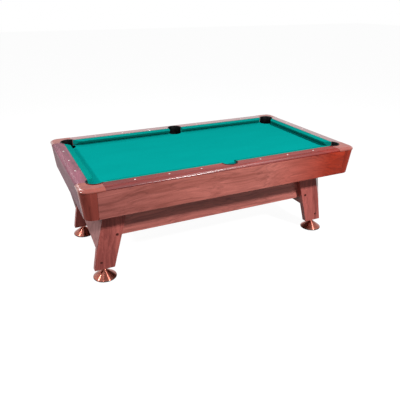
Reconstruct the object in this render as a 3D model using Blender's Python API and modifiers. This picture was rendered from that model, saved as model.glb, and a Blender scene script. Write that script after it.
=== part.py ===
"""Billiard table with a seven-foot playing field, six drop pockets and splayed plate legs.

Units are metres. The origin is on the floor under the middle of the table, +X runs along
the length, -Y is the near long side and +Z is up.
"""
import math

import bmesh
import bpy
from mathutils import Matrix, Vector

# Playing field and top rails
PLAY_LENGTH = 1.900            # cushion nose to cushion nose
PLAY_WIDTH = 0.950
RAIL_TOP = 0.795               # height above the floor
RAIL_THICKNESS = 0.045
RAIL_SKIRT = 0.020             # height of the outer edge in front of the apron
RAIL_WIDTH = 0.104             # wood behind the long cushions
END_RAIL_WIDTH = 0.087         # wood behind the end cushions
RAIL_NOSING = 0.036            # width of the rounded outer top edge
RAIL_NOSING_DROP = 0.016       # how far it falls
CUSHION_WIDTH = 0.046
CUSHION_NOSE_HEIGHT = 0.036    # nose above the cloth
CUSHION_NOSE_RADIUS = 0.0035
CUSHION_CROWN = 0.0012         # rise of the cloth top above a straight slope
CUSHION_FOOT_HEIGHT = 0.006    # underside above the cloth
CUSHION_FOOT_DEPTH = 0.016     # depth of the flat underside from the wood
CUSHION_TOP_DROP = 0.0008      # step from the rail top down to the cushion top
CORNER_MOUTH = 0.118           # between the noses, across the corner
SIDE_MOUTH = 0.124             # between the noses at a side pocket
SIDE_FLARE = 0.003             # how far each side facing closes towards the wood

# Pockets
CORNER_POCKET_OUT = 0.006      # pocket centre outside the nose lines
SIDE_POCKET_OUT = 0.045
POCKET_RADIUS = 0.0535         # clear radius at the bed
POCKET_FLOOR_RADIUS = 0.049
POCKET_DEPTH = 0.090           # cup floor below the cloth
LINER_WALL = 0.0035
LINER_RIM_WIDTH = 0.005        # flange lying on the rail top
LINER_RIM_HEIGHT = 0.0025
LINER_LIP_DROP = 0.003         # front lip below the cloth
LINER_CLEARANCE = 0.0005

# Bed
CLOTH_THICKNESS = 0.001
BED_THICKNESS = 0.019
CROSS_DEPTH = 0.073
CROSS_WIDTH = 0.040
CROSS_INNER_SPACING = 0.540    # between the two middle cross members

# Corner caps
CAP_LONG = 0.161               # reach along the long rail, from the rail corner
CAP_SHORT = 0.150              # reach along the end rail
CAP_RADIUS = 0.065             # rounded corner in plan
CAP_OVERHANG = 0.003           # proud of the rails' outer faces

# Aprons and corner posts
APRON_DEPTH = 0.196
APRON_INSET = 0.001            # top of the apron inside the rail edge
APRON_LEAN = 0.018             # inward run from top to bottom
APRON_THICKNESS = 0.016
POST_COVER = 0.087             # width of a post's side at its bottom
POST_RADIUS = 0.062

# Legs and stretchers
LEG_BOTTOM = 0.073             # underside of the leg above the floor
LEG_THICKNESS = 0.0477
LEG_SIDE_SETBACK = 0.233       # outer face inside the long rail edge
LEG_BOTTOM_SETBACK = 0.077     # outer bottom corner inside the end rail edge
LEG_BOTTOM_WIDTH = 0.149
LEG_KNEE_HEIGHT = 0.235
LEG_KNEE_SETBACK = 0.107
LEG_TOP_SETBACK = 0.214
LEG_TOP_WIDTH = 0.175
WING_THICKNESS = 0.016
WING_OVERLAP = 0.012           # height of the wing hidden behind the end apron
STRETCHER_THICKNESS = 0.025
LONG_STRETCHER_BOTTOM = 0.301
END_STRETCHER_BOTTOM = 0.242
END_STRETCHER_SETBACK = 0.2505
BOLT_HEIGHT = 0.334
BOLT_HEAD_RADIUS = 0.0105
BOLT_HEAD_HEIGHT = 0.0045
BOLT_SHANK_RADIUS = 0.004
BOLT_BITE = 0.035              # shank length in the end stretcher

# Leveling feet
FOOT_RADIUS = 0.0855
FOOT_RIM = 0.007
FOOT_WALL = 0.005              # thickness of the hollow cone
FOOT_TREAD = 0.012             # width of the ring that stands on the floor
FOOT_NECK_RADIUS = 0.013
FOOT_NECK_HEIGHT = 0.010
STUD_RADIUS = 0.006
STUD_LENGTH = 0.042
SOCKET_RADIUS = 0.010
SOCKET_LENGTH = 0.045
STUD_CLEARANCE = 0.0004

# Gap between faces that seat on each other, and facets of round shapes
GAP = 0.0003
ROUND_STEPS = 32
ARC_STEPS = 8
CUT_MARGIN = 0.010             # how far a cutter runs past what it cuts

# Levels and half sizes that follow
BED_TOP = RAIL_TOP - RAIL_THICKNESS
BOARD_TOP = BED_TOP - CLOTH_THICKNESS - GAP
BOARD_BOTTOM = BOARD_TOP - BED_THICKNESS
CROSS_TOP = BOARD_BOTTOM - GAP
CROSS_BOTTOM = CROSS_TOP - CROSS_DEPTH
FRAME_TOP = CROSS_BOTTOM - GAP
SKIRT_BOTTOM = RAIL_TOP - RAIL_SKIRT
APRON_TOP = SKIRT_BOTTOM - GAP
APRON_BOTTOM = APRON_TOP - APRON_DEPTH
NOSE_X = PLAY_LENGTH / 2
NOSE_Y = PLAY_WIDTH / 2
WOOD_X = NOSE_X + CUSHION_WIDTH
WOOD_Y = NOSE_Y + CUSHION_WIDTH
RAIL_X = WOOD_X + END_RAIL_WIDTH
RAIL_Y = WOOD_Y + RAIL_WIDTH
LEG_FACE_Y = RAIL_Y - LEG_SIDE_SETBACK
LEG_BACK_Y = LEG_FACE_Y - LEG_THICKNESS
END_STRETCHER_X = RAIL_X - END_STRETCHER_SETBACK
LINER_RADIUS = POCKET_RADIUS + LINER_WALL

CORNERS = {"near_left": (-1, -1), "near_right": (1, -1), "far_left": (-1, 1), "far_right": (1, 1)}
SIDES = {"near": -1, "far": 1}
ENDS = {"left": -1, "right": 1}


def apron_outer(rail_edge, height):
    """Outer apron face at a height, for the rail edge at RAIL_X or RAIL_Y."""
    return rail_edge - APRON_INSET - APRON_LEAN * (APRON_TOP - height) / APRON_DEPTH


def apron_inner(rail_edge, height):
    return apron_outer(rail_edge, height) - APRON_THICKNESS


def new_collection(name):
    collection = bpy.data.collections.new(name)
    bpy.context.scene.collection.children.link(collection)
    return collection


def make_material(name, color, roughness, metallic=0.0):
    material = bpy.data.materials.new(name)
    material.use_nodes = True
    shader = material.node_tree.nodes["Principled BSDF"]
    shader.inputs["Base Color"].default_value = (*color, 1.0)
    shader.inputs["Roughness"].default_value = roughness
    shader.inputs["Metallic"].default_value = metallic
    return material


def add_object(name, bm, material=None, collection=None):
    """Turn a bmesh into an object of the table, or of the collection given."""
    mesh = bpy.data.meshes.new(name)
    bm.to_mesh(mesh)
    bm.free()
    piece = bpy.data.objects.new(name, mesh)
    (collection or table).objects.link(piece)
    if material:
        mesh.materials.append(material)
    return piece


def add_solid(name, bm, material=None, collection=None):
    bmesh.ops.recalc_face_normals(bm, faces=bm.faces[:])
    return add_object(name, bm, material, collection)


def prism(outline, place, low, high):
    """Extrude a closed outline; place(a, b, c) gives the point at depth c."""
    bm = bmesh.new()
    face = bm.faces.new([bm.verts.new(place(a, b, low)) for a, b in outline])
    grown = bmesh.ops.extrude_face_region(bm, geom=[face])
    moved = [item for item in grown["geom"] if isinstance(item, bmesh.types.BMVert)]
    reach = Vector(place(0.0, 0.0, high)) - Vector(place(0.0, 0.0, low))
    bmesh.ops.translate(bm, verts=moved, vec=reach)
    return bm


def leaning_prism(outline_at, high, low, sx, sy):
    """Body of a corner between two heights; outline_at(height) gives its plan in the +X +Y corner."""
    top = outline_at(high)
    bm = prism(top, lambda a, b, c: (sx * a, sy * b, c), high, low)
    lower = [vert for vert in bm.verts if abs(vert.co.z - low) < GAP]
    for (top_a, top_b), (a, b) in zip(top, outline_at(low)):
        vert = min(lower, key=lambda item: (item.co.xy - Vector((sx * top_a, sy * top_b))).length)
        lower.remove(vert)
        vert.co.xy = (sx * a, sy * b)
    return bm


def box(low, high):
    bm = bmesh.new()
    size = Vector(high) - Vector(low)
    middle = (Vector(high) + Vector(low)) / 2
    bmesh.ops.create_cube(bm, size=1.0, matrix=Matrix.Translation(middle) @ Matrix.Diagonal((*size, 1.0)))
    return bm


def arc(center, radius, start, end, steps=ARC_STEPS):
    """Points of an arc between two angles in degrees, both ends included."""
    turns = [math.radians(start + (end - start) * step / steps) for step in range(steps + 1)]
    return [(center[0] + radius * math.cos(turn), center[1] + radius * math.sin(turn)) for turn in turns]


def add_cutter(name, bm):
    cutter = add_solid(name, bm, collection=cutters)
    cutter.hide_render = True
    cutter.display_type = "WIRE"
    return cutter


def cylinder_cutter(name, center, radius, low, high, axis="Z"):
    """A round cutter along Z, or along Y through (x, z) = center."""
    bm = bmesh.new()
    bmesh.ops.create_cone(bm, cap_ends=True, segments=ROUND_STEPS, radius1=radius, radius2=radius,
                          depth=high - low)
    middle = (low + high) / 2
    if axis == "Y":
        turn = Matrix.Rotation(math.radians(90), 4, "X")
        place = Matrix.Translation((center[0], middle, center[1])) @ turn
    else:
        place = Matrix.Translation((center[0], center[1], middle))
    bmesh.ops.transform(bm, matrix=place, verts=bm.verts[:])
    return add_cutter(name, bm)


def cut(piece, *tools):
    for tool in tools:
        modifier = piece.modifiers.new("cut_" + tool.name, "BOOLEAN")
        modifier.operation = "DIFFERENCE"
        modifier.solver = "EXACT"
        modifier.object = tool


def turned(name, profile, material, closed=False):
    """Turn a profile of (radius, height) about Z; it runs down the outer side."""
    bm = bmesh.new()
    verts = [bm.verts.new((radius, 0.0, height)) for radius, height in profile]
    for first, second in zip(verts, verts[1:]):
        bm.edges.new((first, second))
    if closed:
        bm.edges.new((verts[-1], verts[0]))
    piece = add_object(name, bm, material)
    screw = piece.modifiers.new("turn", "SCREW")
    screw.axis = "Z"
    screw.steps = ROUND_STEPS
    screw.render_steps = ROUND_STEPS
    screw.use_merge_vertices = True
    screw.merge_threshold = 0.00001
    return piece


def pocket_places():
    """Pocket name, centre and the signs of its corner; a side pocket has sign 0 along X."""
    places = {}
    for name, (sx, sy) in CORNERS.items():
        places[name] = (sx * (NOSE_X + CORNER_POCKET_OUT), sy * (NOSE_Y + CORNER_POCKET_OUT), sx, sy)
    for name, sy in SIDES.items():
        places[name + "_side"] = (0.0, sy * (NOSE_Y + SIDE_POCKET_OUT), 0, sy)
    return places


def make_pocket_cutters():
    radius = LINER_RADIUS + LINER_CLEARANCE
    low = BOARD_BOTTOM - CUT_MARGIN
    high = RAIL_TOP + CUT_MARGIN
    return {name: cylinder_cutter("pocket_cut_" + name, (x, y), radius, low, high)
            for name, (x, y, sx, sy) in pocket_places().items()}


def make_bed():
    """The board under the cloth and the cloth itself, with the pocket holes through both."""
    half_x = apron_inner(RAIL_X, BOARD_BOTTOM) - GAP
    half_y = apron_inner(RAIL_Y, BOARD_BOTTOM) - GAP
    radius = POST_RADIUS - APRON_THICKNESS - GAP
    outline = []
    for quarter, (sx, sy) in enumerate(((1, 1), (-1, 1), (-1, -1), (1, -1))):
        center = (sx * (half_x - radius), sy * (half_y - radius))
        outline += arc(center, radius, 90 * quarter, 90 * quarter + 90)
    layers = {"bed_board": (BOARD_BOTTOM, BOARD_TOP, board_brown),
              "bed_cloth": (BOARD_TOP + GAP, BED_TOP, cloth_green)}
    for name, (low, high, material) in layers.items():
        layer = add_solid(name, prism(outline, lambda a, b, c: (a, b, c), low, high), material)
        cut(layer, *pocket_cutters.values())


def nosing_height(height):
    """Flatten a round of radius RAIL_NOSING under the rail top to the nosing's drop."""
    return RAIL_TOP - (RAIL_TOP - height) * RAIL_NOSING_DROP / RAIL_NOSING


def rail_section(wood, rail_edge):
    """Rail section as (distance from the middle of the table, height), stepped over the apron's top."""
    low = BED_TOP + GAP
    nosing = [(out, nosing_height(height)) for out, height in
              arc((rail_edge - RAIL_NOSING, RAIL_TOP - RAIL_NOSING), RAIL_NOSING, 90, 0)]
    step = [(rail_edge, SKIRT_BOTTOM), (apron_inner(rail_edge, SKIRT_BOTTOM) - GAP, SKIRT_BOTTOM),
            (apron_inner(rail_edge, low) - GAP, low)]
    return [(wood, low), (wood, RAIL_TOP)] + nosing + step


def make_rails():
    reach = RAIL_X - CAP_LONG - GAP
    for name, sy in SIDES.items():
        bm = prism(rail_section(WOOD_Y, RAIL_Y), lambda a, b, c: (c, sy * a, b), -reach, reach)
        rail = add_solid("rail_long_" + name, bm, rail_wood)
        cut(rail, *(pocket_cutters[name + place] for place in ("_left", "_side", "_right")))
    reach = RAIL_Y - CAP_SHORT - GAP
    for name, sx in ENDS.items():
        bm = prism(rail_section(WOOD_X, RAIL_X), lambda a, b, c: (sx * a, c, b), -reach, reach)
        rail = add_solid("rail_end_" + name, bm, rail_wood)
        cut(rail, pocket_cutters["near_" + name], pocket_cutters["far_" + name])


def cushion_section():
    """Cushion section as (distance in from the wood, height): foot, back, crowned top, nose."""
    top = RAIL_TOP - CUSHION_TOP_DROP
    foot = BED_TOP + CUSHION_FOOT_HEIGHT
    nose = (CUSHION_WIDTH - CUSHION_NOSE_RADIUS, BED_TOP + CUSHION_NOSE_HEIGHT)
    slope_end = (nose[0], nose[1] + CUSHION_NOSE_RADIUS)
    points = [(GAP, foot), (GAP, top)]
    for step in range(1, ARC_STEPS):
        share = step / ARC_STEPS
        rise = CUSHION_CROWN * math.sin(math.pi * share)
        points.append((GAP + (slope_end[0] - GAP) * share, top + (slope_end[1] - top) * share + rise))
    points += arc(nose, CUSHION_NOSE_RADIUS, 90, -60)
    return points + [(CUSHION_FOOT_DEPTH, foot)]


def cushion(name, start, end, place):
    """A cushion run; start and end are (nose, back) stations of its two facings."""
    low = min(start) - CUT_MARGIN
    high = max(end) + CUT_MARGIN
    bm = prism(cushion_section(), lambda a, b, c: (c, CUSHION_WIDTH - a, b), low, high)
    for (nose, back), way in ((start, -1), (end, 1)):
        normal = Vector((way * CUSHION_WIDTH, way * (nose - back), 0.0))
        bmesh.ops.bisect_plane(bm, geom=bm.verts[:] + bm.edges[:] + bm.faces[:], dist=0.000001,
                               plane_co=(nose, 0.0, 0.0), plane_no=normal, clear_outer=True)
        open_edges = [edge for edge in bm.edges if edge.is_boundary]
        bmesh.ops.holes_fill(bm, edges=open_edges, sides=0)
    bmesh.ops.transform(bm, matrix=place, verts=bm.verts[:])
    add_solid(name, bm, cushion_green)


def make_cushions():
    jaw = CORNER_MOUTH / math.sqrt(2)
    corner_x = (NOSE_X - jaw, NOSE_X - jaw + CUSHION_WIDTH)
    corner_y = (NOSE_Y - jaw, NOSE_Y - jaw + CUSHION_WIDTH)
    middle = (SIDE_MOUTH / 2, SIDE_MOUTH / 2 - SIDE_FLARE)
    for row, sy in SIDES.items():
        for column, sx in ENDS.items():
            place = Matrix.Diagonal((sx, sy, 1.0, 1.0)) @ Matrix.Translation((0.0, NOSE_Y, 0.0))
            cushion("cushion_" + row + "_" + column, middle, corner_x, place)
    for name, sx in ENDS.items():
        turn = Matrix.Rotation(math.radians(90), 4, "Z")
        place = Matrix.Diagonal((-sx, 1.0, 1.0, 1.0)) @ Matrix.Translation((-NOSE_X, 0.0, 0.0)) @ turn
        start = (-corner_y[0], -corner_y[1])
        cushion("cushion_end_" + name, start, corner_y, place)


def cap_step_outline(height):
    """Plan of the step under a cap at a height: the post's inner face, then clear of the cap outside."""
    outer_x = apron_outer(RAIL_X, height)
    outer_y = apron_outer(RAIL_Y, height)
    center = (outer_x - POST_RADIUS, outer_y - POST_RADIUS)
    inset = APRON_THICKNESS + GAP
    start_x = RAIL_X - CAP_LONG - CUT_MARGIN
    start_y = RAIL_Y - CAP_SHORT - CUT_MARGIN
    far_x = RAIL_X + CUT_MARGIN
    far_y = RAIL_Y + CUT_MARGIN
    inner = [(start_x, outer_y - inset)] + arc(center, POST_RADIUS - inset, 90, 0) + [(outer_x - inset, start_y)]
    return inner + [(far_x, start_y), (far_x, far_y), (start_x, far_y)]


def make_corner_caps():
    """Moulded corners that carry the pocket, round in plan, stepped over the posts and aprons."""
    outer_x = RAIL_X + CAP_OVERHANG
    outer_y = RAIL_Y + CAP_OVERHANG
    round_center = (outer_x - CAP_RADIUS, outer_y - CAP_RADIUS)
    outline = [(RAIL_X - CAP_LONG, WOOD_Y), (WOOD_X, WOOD_Y), (WOOD_X, RAIL_Y - CAP_SHORT),
               (outer_x, RAIL_Y - CAP_SHORT)]
    outline += arc(round_center, CAP_RADIUS, 0, 90)
    outline.append((RAIL_X - CAP_LONG, outer_y))
    for name, (sx, sy) in CORNERS.items():
        bm = prism(outline, lambda a, b, c: (sx * a, sy * b, c), BED_TOP + GAP, RAIL_TOP)
        rim = [edge for edge in bm.edges if is_cap_rim(edge)]
        rounded = bmesh.ops.bevel(bm, geom=rim, offset=RAIL_NOSING, offset_type="OFFSET", segments=ARC_STEPS,
                                  profile=0.5, affect="EDGES", material=-1)
        for vert in rounded["verts"]:
            vert.co.z = nosing_height(vert.co.z)
        cap = add_solid("corner_cap_" + name, bm, cap_copper)
        step = leaning_prism(cap_step_outline, SKIRT_BOTTOM, BED_TOP, sx, sy)
        cut(cap, pocket_cutters[name], add_cutter("cap_step_cut_" + name, step))


def is_cap_rim(edge):
    """True on the cap's outer top edge: along the rails and round the corner."""
    first, second = edge.verts
    if min(first.co.z, second.co.z) < RAIL_TOP - GAP:
        return False
    middle = (first.co + second.co) / 2
    out_x = RAIL_X - abs(middle.x)
    out_y = RAIL_Y - abs(middle.y)
    return min(out_x, out_y) < 0 or max(out_x, out_y) < CAP_RADIUS


def make_pocket_liners():
    """Plastic cups: a rim on the rail, a back wall up from the bed and a cup below it."""
    floor = BED_TOP - POCKET_DEPTH
    lip = BED_TOP - LINER_LIP_DROP
    seat = RAIL_TOP + GAP
    profile = [(0.0, floor), (POCKET_FLOOR_RADIUS, floor), (POCKET_RADIUS, lip),
               (POCKET_RADIUS, seat + LINER_RIM_HEIGHT),
               (LINER_RADIUS + LINER_RIM_WIDTH, seat + LINER_RIM_HEIGHT),
               (LINER_RADIUS + LINER_RIM_WIDTH, seat), (LINER_RADIUS, seat), (LINER_RADIUS, lip),
               (POCKET_FLOOR_RADIUS + LINER_WALL, floor - LINER_WALL), (0.0, floor - LINER_WALL)]
    span = 2 * (LINER_RADIUS + LINER_RIM_WIDTH)
    top = seat + LINER_RIM_HEIGHT + CUT_MARGIN
    for name, (x, y, sx, sy) in pocket_places().items():
        liner = turned("pocket_liner_" + name, profile, liner_black)
        liner.location = (x, y, 0.0)
        ends_x = (sx * (WOOD_X - span), sx * WOOD_X) if sx else (-span, span)
        ends_y = (sy * (WOOD_Y - span), sy * WOOD_Y)
        mouth = box((min(ends_x), min(ends_y), lip), (max(ends_x), max(ends_y), top))
        cut(liner, add_cutter("mouth_cut_" + name, mouth))


def apron_section(rail_edge):
    """Leaning apron section as (distance from the middle of the table, height)."""
    outer = [(apron_outer(rail_edge, height), height) for height in (APRON_TOP, APRON_BOTTOM)]
    inner = [(apron_inner(rail_edge, height), height) for height in (APRON_BOTTOM, APRON_TOP)]
    return outer + inner


def make_aprons():
    reach = apron_outer(RAIL_X, APRON_BOTTOM) - POST_COVER - GAP
    for name, sy in SIDES.items():
        bm = prism(apron_section(RAIL_Y), lambda a, b, c: (c, sy * a, b), -reach, reach)
        add_solid("apron_" + name, bm, apron_wood)
    reach = apron_outer(RAIL_Y, APRON_BOTTOM) - POST_COVER - GAP
    for name, sx in ENDS.items():
        bm = prism(apron_section(RAIL_X), lambda a, b, c: (sx * a, c, b), -reach, reach)
        add_solid("apron_" + name, bm, apron_wood)


def post_outline(height):
    """Plan of the corner post at a height: straight sides and a rounded corner, one board thick."""
    seam_x = apron_outer(RAIL_X, APRON_BOTTOM) - POST_COVER
    seam_y = apron_outer(RAIL_Y, APRON_BOTTOM) - POST_COVER
    outer_x = apron_outer(RAIL_X, height)
    outer_y = apron_outer(RAIL_Y, height)
    center = (outer_x - POST_RADIUS, outer_y - POST_RADIUS)
    outer = [(outer_x, seam_y)] + arc(center, POST_RADIUS, 0, 90) + [(seam_x, outer_y)]
    inner_arc = arc(center, POST_RADIUS - APRON_THICKNESS, 90, 0)
    inner = [(seam_x, outer_y - APRON_THICKNESS)] + inner_arc + [(outer_x - APRON_THICKNESS, seam_y)]
    return outer + inner


def make_corner_posts():
    """Rounded posts between the aprons, wide at the top and narrow at the bottom."""
    for name, (sx, sy) in CORNERS.items():
        bm = leaning_prism(post_outline, APRON_TOP, APRON_BOTTOM, sx, sy)
        add_solid("corner_post_" + name, bm, post_wood)


def make_cross_members():
    """Timbers across the frame that carry the bed and hold the long aprons."""
    half_top = apron_inner(RAIL_Y, CROSS_TOP) - GAP
    half_bottom = apron_inner(RAIL_Y, CROSS_BOTTOM) - GAP
    outline = [(half_top, CROSS_TOP), (-half_top, CROSS_TOP), (-half_bottom, CROSS_BOTTOM),
               (half_bottom, CROSS_BOTTOM)]
    outer = END_STRETCHER_X - STRETCHER_THICKNESS - CROSS_WIDTH / 2
    inner = CROSS_INNER_SPACING / 2
    for number, x in enumerate((-outer, -inner, inner, outer), start=1):
        bm = prism(outline, lambda a, b, c: (c, a, b), x - CROSS_WIDTH / 2, x + CROSS_WIDTH / 2)
        add_solid(f"cross_member_{number}", bm, frame_brown)


def leg_outer(height):
    """Outer edge of a leg at a height above its knee."""
    knee = RAIL_X - LEG_KNEE_SETBACK
    top = RAIL_X - LEG_TOP_SETBACK
    return knee + (top - knee) * (height - LEG_KNEE_HEIGHT) / (FRAME_TOP - LEG_KNEE_HEIGHT)


def foot_x():
    return RAIL_X - LEG_BOTTOM_SETBACK - LEG_BOTTOM_WIDTH / 2


def foot_y():
    return LEG_FACE_Y - LEG_THICKNESS / 2


def bolt_x():
    return END_STRETCHER_X - STRETCHER_THICKNESS / 2


def make_legs():
    """Splayed leg boards, bored for the foot's socket and for the bolt into the end stretcher."""
    outer = RAIL_X - LEG_BOTTOM_SETBACK
    top = RAIL_X - LEG_TOP_SETBACK
    outline = [(outer, LEG_BOTTOM), (RAIL_X - LEG_KNEE_SETBACK, LEG_KNEE_HEIGHT), (top, FRAME_TOP),
               (top - LEG_TOP_WIDTH, FRAME_TOP), (outer - LEG_BOTTOM_WIDTH, LEG_BOTTOM)]
    for name, (sx, sy) in CORNERS.items():
        bm = prism(outline, lambda a, b, c: (sx * a, sy * c, b), LEG_BACK_Y, LEG_FACE_Y)
        leg = add_solid("leg_" + name, bm, leg_wood)
        bore = cylinder_cutter("socket_cut_" + name, (sx * foot_x(), sy * foot_y()), SOCKET_RADIUS + GAP,
                               LEG_BOTTOM - CUT_MARGIN, LEG_BOTTOM + SOCKET_LENGTH + GAP)
        cut(leg, bore, bolt_cutters[name])


def make_bolt_cutters():
    """Bolt holes, through the leg and blind in the end stretcher."""
    tools = {}
    depth = LEG_BACK_Y - GAP - BOLT_BITE
    for name, (sx, sy) in CORNERS.items():
        low, high = sorted((sy * (LEG_FACE_Y + CUT_MARGIN), sy * (depth - GAP)))
        tools[name] = cylinder_cutter("bolt_cut_" + name, (sx * bolt_x(), BOLT_HEIGHT),
                                      BOLT_SHANK_RADIUS + GAP, low, high, axis="Y")
    return tools


def make_leg_wings():
    """Slanted triangular boards from each leg's outer edge out to the end apron, square in plan."""
    top = APRON_BOTTOM + WING_OVERLAP
    knee = Vector((RAIL_X - LEG_KNEE_SETBACK, LEG_FACE_Y, LEG_KNEE_HEIGHT))
    upper = Vector((leg_outer(top), LEG_FACE_Y, top))
    run = apron_inner(RAIL_X, top) - GAP - upper.x
    tip = upper + Vector((run, -run, 0.0))
    normal = (tip - knee).cross(upper - knee).normalized()
    inward = -normal if normal.x > 0 else normal
    edge_out = Vector((top - LEG_KNEE_HEIGHT, 0.0, knee.x - upper.x)).normalized()
    for name, (sx, sy) in CORNERS.items():
        bm = bmesh.new()
        face = bm.faces.new([bm.verts.new(point) for point in (knee, upper, tip)])
        grown = bmesh.ops.extrude_face_region(bm, geom=[face])
        moved = [item for item in grown["geom"] if isinstance(item, bmesh.types.BMVert)]
        bmesh.ops.translate(bm, verts=moved, vec=inward * WING_THICKNESS)
        bmesh.ops.bisect_plane(bm, geom=bm.verts[:] + bm.edges[:] + bm.faces[:], dist=0.000001,
                               plane_co=knee + edge_out * GAP, plane_no=edge_out, clear_inner=True)
        open_edges = [edge for edge in bm.edges if edge.is_boundary]
        bmesh.ops.holes_fill(bm, edges=open_edges, sides=0)
        bmesh.ops.transform(bm, matrix=Matrix.Diagonal((sx, sy, 1.0, 1.0)), verts=bm.verts[:])
        add_solid("leg_wing_" + name, bm, leg_wood)


def make_stretchers():
    """Two long boards behind the legs and two boards across the ends between the legs."""
    front = LEG_BACK_Y - GAP
    inside_x = END_STRETCHER_X - STRETCHER_THICKNESS
    for name, sy in SIDES.items():
        low_y, high_y = sorted((sy * front, sy * (front - STRETCHER_THICKNESS)))
        bm = box((-inside_x + GAP, low_y, LONG_STRETCHER_BOTTOM), (inside_x - GAP, high_y, FRAME_TOP))
        add_solid("stretcher_" + name, bm, stretcher_wood)
    for name, sx in ENDS.items():
        low_x, high_x = sorted((sx * inside_x, sx * END_STRETCHER_X))
        bm = box((low_x, -front, END_STRETCHER_BOTTOM), (high_x, front, FRAME_TOP))
        board = add_solid("stretcher_" + name, bm, stretcher_wood)
        cut(board, bolt_cutters["near_" + name], bolt_cutters["far_" + name])


def make_leg_bolts():
    """Domed bolts through the legs into the ends of the end stretchers."""
    shank = GAP + LEG_THICKNESS + GAP + BOLT_BITE
    shoulder = BOLT_HEAD_HEIGHT / 3
    profile = [(0.0, BOLT_HEAD_HEIGHT), (BOLT_HEAD_RADIUS / 2, BOLT_HEAD_HEIGHT - shoulder / 2),
               (BOLT_HEAD_RADIUS, shoulder), (BOLT_HEAD_RADIUS, 0.0), (BOLT_SHANK_RADIUS, 0.0),
               (BOLT_SHANK_RADIUS, -shank), (0.0, -shank)]
    for name, (sx, sy) in CORNERS.items():
        bolt = turned("leg_bolt_" + name, profile, bolt_brown)
        bolt.location = (sx * bolt_x(), sy * (LEG_FACE_Y + GAP), BOLT_HEIGHT)
        bolt.rotation_euler = (math.radians(-90 * sy), 0.0, 0.0)


def make_leveling_feet():
    """Threaded sockets in the legs and the wide conical feet that screw into them."""
    neck_top = LEG_BOTTOM - GAP
    neck_base = neck_top - FOOT_NECK_HEIGHT
    foot = [(0.0, neck_top + STUD_LENGTH), (STUD_RADIUS, neck_top + STUD_LENGTH), (STUD_RADIUS, neck_top),
            (FOOT_NECK_RADIUS, neck_top), (FOOT_NECK_RADIUS, neck_base), (FOOT_RADIUS, FOOT_RIM),
            (FOOT_RADIUS, 0.0), (FOOT_RADIUS - FOOT_TREAD, 0.0), (FOOT_RADIUS - FOOT_TREAD, FOOT_RIM),
            (FOOT_NECK_RADIUS, neck_base - FOOT_WALL), (0.0, neck_base - FOOT_WALL)]
    bore = STUD_RADIUS + STUD_CLEARANCE
    socket = [(bore, LEG_BOTTOM), (bore, LEG_BOTTOM + SOCKET_LENGTH),
              (SOCKET_RADIUS, LEG_BOTTOM + SOCKET_LENGTH), (SOCKET_RADIUS, LEG_BOTTOM)]
    for name, (sx, sy) in CORNERS.items():
        place = (sx * foot_x(), sy * foot_y(), 0.0)
        turned("leveler_" + name, foot, foot_copper).location = place
        turned("leveler_socket_" + name, socket, socket_steel, closed=True).location = place


for old in list(bpy.data.objects):
    bpy.data.objects.remove(old, do_unlink=True)

table = new_collection("billiard_table")
cutters = new_collection("cutters")

board_brown = make_material("bed_board", (0.30, 0.20, 0.12), 0.8)
cloth_green = make_material("bed_cloth", (0.01, 0.36, 0.33), 0.95)
cushion_green = make_material("cushion_cloth", (0.01, 0.31, 0.22), 0.95)
rail_wood = make_material("rail_wood", (0.30, 0.09, 0.07), 0.35)
apron_wood = make_material("apron_wood", (0.36, 0.11, 0.08), 0.40)
post_wood = make_material("post_wood", (0.22, 0.06, 0.05), 0.35)
leg_wood = make_material("leg_wood", (0.26, 0.07, 0.06), 0.45)
stretcher_wood = make_material("stretcher_wood", (0.34, 0.10, 0.08), 0.45)
frame_brown = make_material("frame_timber", (0.35, 0.24, 0.15), 0.85)
cap_copper = make_material("corner_cap", (0.36, 0.12, 0.09), 0.25)
liner_black = make_material("pocket_liner", (0.010, 0.010, 0.011), 0.5)
foot_copper = make_material("leveler_copper", (0.55, 0.22, 0.15), 0.25, 1.0)
socket_steel = make_material("socket_steel", (0.55, 0.55, 0.56), 0.4, 1.0)
bolt_brown = make_material("leg_bolt", (0.12, 0.03, 0.02), 0.4)

pocket_cutters = make_pocket_cutters()
bolt_cutters = make_bolt_cutters()
make_bed()
make_cross_members()
make_rails()
make_cushions()
make_corner_caps()
make_pocket_liners()
make_aprons()
make_corner_posts()
make_legs()
make_leg_wings()
make_stretchers()
make_leg_bolts()
make_leveling_feet()
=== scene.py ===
import math

import bmesh
import bpy
from mathutils import Matrix, Vector


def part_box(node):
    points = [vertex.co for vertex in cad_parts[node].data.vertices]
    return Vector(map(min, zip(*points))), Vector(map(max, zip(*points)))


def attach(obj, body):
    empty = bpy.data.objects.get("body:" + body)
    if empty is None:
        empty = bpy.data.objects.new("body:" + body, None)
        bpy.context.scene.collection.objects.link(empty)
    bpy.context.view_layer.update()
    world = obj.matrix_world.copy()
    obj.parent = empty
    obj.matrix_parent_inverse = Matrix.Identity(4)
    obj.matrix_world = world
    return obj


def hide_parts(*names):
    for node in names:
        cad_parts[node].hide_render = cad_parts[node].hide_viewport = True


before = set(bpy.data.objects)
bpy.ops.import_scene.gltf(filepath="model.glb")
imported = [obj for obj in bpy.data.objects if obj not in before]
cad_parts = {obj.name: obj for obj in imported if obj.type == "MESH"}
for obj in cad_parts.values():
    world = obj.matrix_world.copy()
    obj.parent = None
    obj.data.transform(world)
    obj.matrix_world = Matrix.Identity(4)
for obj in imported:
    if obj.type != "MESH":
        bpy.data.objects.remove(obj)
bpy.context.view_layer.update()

# Camera
# The table is seen by a standing person from its near left corner, looking down on the cloth.
# The lens is slightly longer than normal and the camera is level from side to side.
view_camera = bpy.data.cameras.new("view_camera")
view_camera.sensor_width = 36.0
view_camera.lens = 39.81
camera = bpy.data.objects.new("view_camera", view_camera)
camera.location = (-1.463, -3.145, 1.846)
look = Vector((0.3872, 0.8256, -0.4105))
camera.rotation_euler = look.to_track_quat("-Z", "Y").to_euler()
bpy.context.scene.collection.objects.link(camera)
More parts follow.
